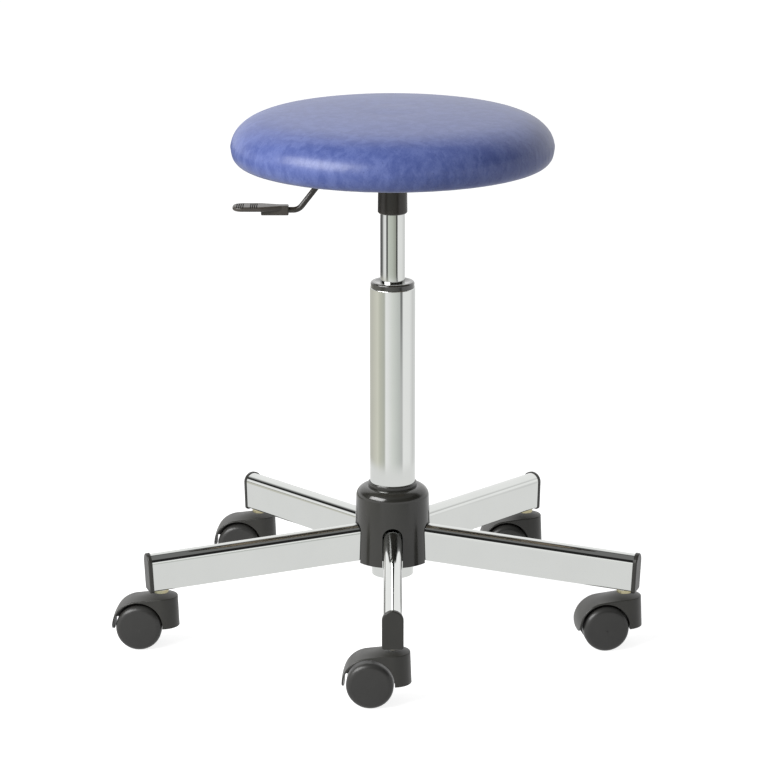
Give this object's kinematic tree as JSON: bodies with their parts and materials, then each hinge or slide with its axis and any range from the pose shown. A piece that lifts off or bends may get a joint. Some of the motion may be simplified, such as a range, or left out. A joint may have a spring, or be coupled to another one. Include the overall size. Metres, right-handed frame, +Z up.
{
  "type": "medical stool",
  "caption": "Round padded medical stool on a star base with hooded twin-wheel castors, a gas-spring column that turns and sets the seat's height, and a pull-up release lever.",
  "frame": {"origin": "on the column's axis at floor level, where the stool stands", "axes": "+Z up along the column; -Y along the front arm, towards the pictured view; -X along the height lever"},
  "size_m": [0.5802, 0.5314, 0.5819],
  "materials": {
    "blue_leatherette": "satin",
    "plywood": "matte",
    "zinc_steel": "satin",
    "black_painted_steel": "satin",
    "black_plastic": "satin",
    "gloss_black_plastic": "gloss",
    "castor_plastic": "satin",
    "chromed_steel": "polished",
    "bright_steel": "polished",
    "yellow_zinc": "satin",
    "black_rubber": "matte"
  },
  "bodies": {
    "base": {"column_tube": "chromed_steel", "guide_bush": "black_plastic", "hub_core": "chromed_steel", "hub_cover": "gloss_black_plastic", "castor_sockets": "zinc_steel", "lower_race": "bright_steel", "ball_cage": "bright_steel", "arm_front": "chromed_steel", "arm_right": "chromed_steel", "arm_back_right": "chromed_steel", "arm_back_left": "chromed_steel", "arm_left": "chromed_steel", "end_cap_front": "black_plastic", "end_cap_right": "black_plastic", "end_cap_back_right": "black_plastic", "end_cap_back_left": "black_plastic", "end_cap_left": "black_plastic", "castor_stem_front": "yellow_zinc", "castor_stem_right": "yellow_zinc", "castor_stem_back_right": "yellow_zinc", "castor_stem_back_left": "yellow_zinc", "castor_stem_left": "yellow_zinc"},
    "rod": {"piston_rod": "bright_steel", "piston": "black_plastic", "upper_race": "bright_steel", "rod_clip": "zinc_steel", "bump_stop": "black_rubber"},
    "seat": {"gas_cylinder": "chromed_steel", "rod_guide": "black_plastic", "taper_socket": "black_painted_steel", "seat_plate": "black_painted_steel", "seat_bolts": "zinc_steel", "tee_nuts": "zinc_steel", "seat_board": "plywood", "seat_cushion": "blue_leatherette"},
    "lever": {"lever_rod": "black_painted_steel", "lever_pivot": "black_plastic", "lever_grip": "black_plastic"},
    "button": {"release_button": "bright_steel"},
    "castor_front": {"castor_hood_front": "black_plastic", "castor_axle_front": "bright_steel"},
    "wheel_a_front": {"wheel_a_front": "castor_plastic"},
    "wheel_b_front": {"wheel_b_front": "castor_plastic"},
    "castor_right": {"castor_hood_right": "black_plastic", "castor_axle_right": "bright_steel"},
    "wheel_a_right": {"wheel_a_right": "castor_plastic"},
    "wheel_b_right": {"wheel_b_right": "castor_plastic"},
    "castor_back_right": {"castor_hood_back_right": "black_plastic", "castor_axle_back_right": "bright_steel"},
    "wheel_a_back_right": {"wheel_a_back_right": "castor_plastic"},
    "wheel_b_back_right": {"wheel_b_back_right": "castor_plastic"},
    "castor_back_left": {"castor_hood_back_left": "black_plastic", "castor_axle_back_left": "bright_steel"},
    "wheel_a_back_left": {"wheel_a_back_left": "castor_plastic"},
    "wheel_b_back_left": {"wheel_b_back_left": "castor_plastic"},
    "castor_left": {"castor_hood_left": "black_plastic", "castor_axle_left": "bright_steel"},
    "wheel_a_left": {"wheel_a_left": "castor_plastic"},
    "wheel_b_left": {"wheel_b_left": "castor_plastic"}
  },
  "joints": [
    {"name": "seat_swivel", "type": "hinge", "parent": "base", "child": "rod", "pos_m": [0, 0, 0.07275], "axis": [0, 0, 1], "continuous": true},
    {"name": "seat_height", "type": "slide", "parent": "rod", "child": "seat", "axis": [0, 0, 1], "range_m": [-0.072, 0.058]},
    {"name": "lever_pull", "type": "hinge", "parent": "seat", "child": "lever", "pos_m": [-0.03, 0, 0.5036], "axis": [0, 1, 0], "range_deg": [0, 7], "stiffness_Nm_per_rad": 3},
    {"name": "release_button_press", "type": "slide", "parent": "seat", "child": "button", "axis": [0, 0, -1], "range_m": [0, 0.0042]},
    {"name": "castor_swivel_front", "type": "hinge", "parent": "base", "child": "castor_front", "pos_m": [0, -0.2666, 0.0608], "axis": [0, 0, 1], "continuous": true},
    {"name": "wheel_spin_a_front", "type": "hinge", "parent": "castor_front", "child": "wheel_a_front", "pos_m": [-0.02297, -0.2654, 0.025], "axis": [0.0523, 0.9986, 0], "continuous": true},
    {"name": "wheel_spin_b_front", "type": "hinge", "parent": "castor_front", "child": "wheel_b_front", "pos_m": [-0.02297, -0.2654, 0.025], "axis": [0.0523, 0.9986, 0], "continuous": true},
    {"name": "castor_swivel_right", "type": "hinge", "parent": "base", "child": "castor_right", "pos_m": [0.25355, -0.08238, 0.0608], "axis": [0, 0, 1], "continuous": true},
    {"name": "wheel_spin_a_right", "type": "hinge", "parent": "castor_right", "child": "wheel_a_right", "pos_m": [0.23078, -0.08558, 0.025], "axis": [-0.1392, 0.9903, 0], "continuous": true},
    {"name": "wheel_spin_b_right", "type": "hinge", "parent": "castor_right", "child": "wheel_b_right", "pos_m": [0.23078, -0.08558, 0.025], "axis": [-0.1392, 0.9903, 0], "continuous": true},
    {"name": "castor_swivel_back_right", "type": "hinge", "parent": "base", "child": "castor_back_right", "pos_m": [0.1567, 0.21568, 0.0608], "axis": [0, 0, 1], "continuous": true},
    {"name": "wheel_spin_a_back_right", "type": "hinge", "parent": "castor_back_right", "child": "wheel_a_back_right", "pos_m": [0.13376, 0.21408, 0.025], "axis": [-0.0698, 0.9976, 0], "continuous": true},
    {"name": "wheel_spin_b_back_right", "type": "hinge", "parent": "castor_back_right", "child": "wheel_b_back_right", "pos_m": [0.13376, 0.21408, 0.025], "axis": [-0.0698, 0.9976, 0], "continuous": true},
    {"name": "castor_swivel_back_left", "type": "hinge", "parent": "base", "child": "castor_back_left", "pos_m": [-0.1567, 0.21568, 0.0608], "axis": [0, 0, 1], "continuous": true},
    {"name": "wheel_spin_a_back_left", "type": "hinge", "parent": "castor_back_left", "child": "wheel_a_back_left", "pos_m": [-0.17968, 0.21669, 0.025], "axis": [0.0436, 0.999, 0], "continuous": true},
    {"name": "wheel_spin_b_back_left", "type": "hinge", "parent": "castor_back_left", "child": "wheel_b_back_left", "pos_m": [-0.17968, 0.21669, 0.025], "axis": [0.0436, 0.999, 0], "continuous": true},
    {"name": "castor_swivel_left", "type": "hinge", "parent": "base", "child": "castor_left", "pos_m": [-0.25355, -0.08238, 0.0608], "axis": [0, 0, 1], "continuous": true},
    {"name": "wheel_spin_a_left", "type": "hinge", "parent": "castor_left", "child": "wheel_a_left", "pos_m": [-0.27653, -0.08138, 0.025], "axis": [0.0436, 0.999, 0], "continuous": true},
    {"name": "wheel_spin_b_left", "type": "hinge", "parent": "castor_left", "child": "wheel_b_left", "pos_m": [-0.27653, -0.08138, 0.025], "axis": [0.0436, 0.999, 0], "continuous": true}
  ],
  "couplings": [
    {"joint": "release_button_press", "follows": "lever_pull", "m_per_rad": 0.033}
  ]
}
